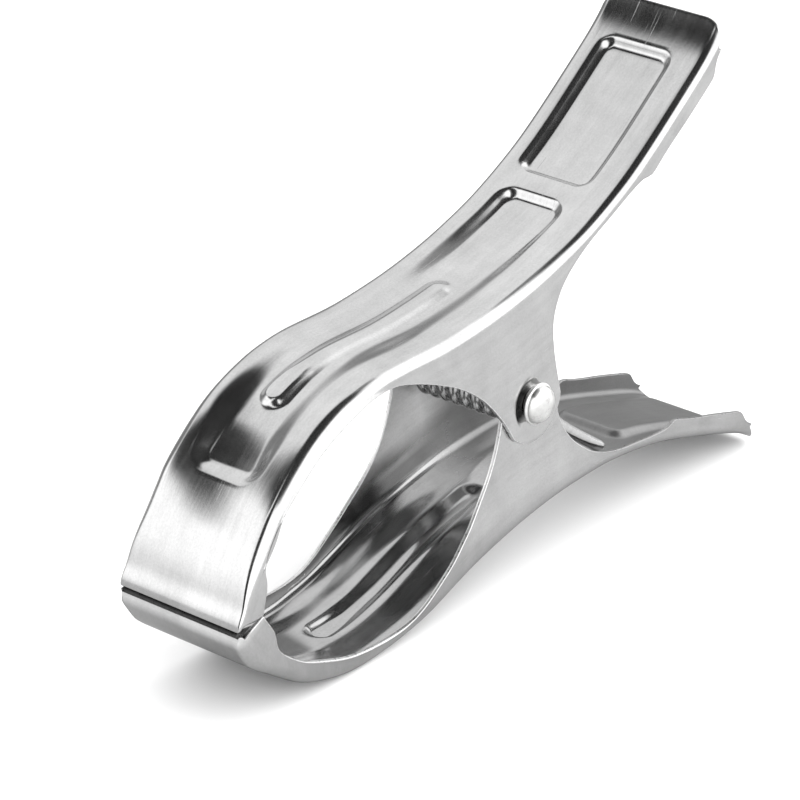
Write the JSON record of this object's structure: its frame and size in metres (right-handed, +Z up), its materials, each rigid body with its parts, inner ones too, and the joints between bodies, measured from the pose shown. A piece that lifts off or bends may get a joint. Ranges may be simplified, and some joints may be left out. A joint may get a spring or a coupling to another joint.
{
  "type": "clothespin",
  "caption": "Large sheet-steel spring clip: two pressed channel shells with ears, riveted at the waist over a torsion spring, with a wide round mouth for thick clothes poles.",
  "frame": {"origin": "middle of the closed jaw tips, on the parting plane", "axes": "+X from the jaw tips to the handles, +Y across the clip along the rivet, +Z up through the upper shell"},
  "size_m": [0.1199, 0.028, 0.0764],
  "materials": {
    "shell_steel": "lightly brushed, near mirror in the web",
    "rivet_steel": "bright domed head",
    "spring_wire": "drawn spring wire"
  },
  "bodies": {
    "lower": {"lower_shell": "shell_steel", "torsion_spring": "spring_wire"},
    "upper": {"upper_shell": "shell_steel", "pivot_rivet": "rivet_steel"}
  },
  "joints": [
    {"name": "jaw_pivot", "type": "hinge", "parent": "lower", "child": "upper", "pos_m": [0.0669, 0, 0], "axis": [0, 1, 0], "range_deg": [0, 50], "stiffness_Nm_per_rad": 0.6, "springref_deg": -45.84, "deforming": ["torsion_spring"]}
  ]
}
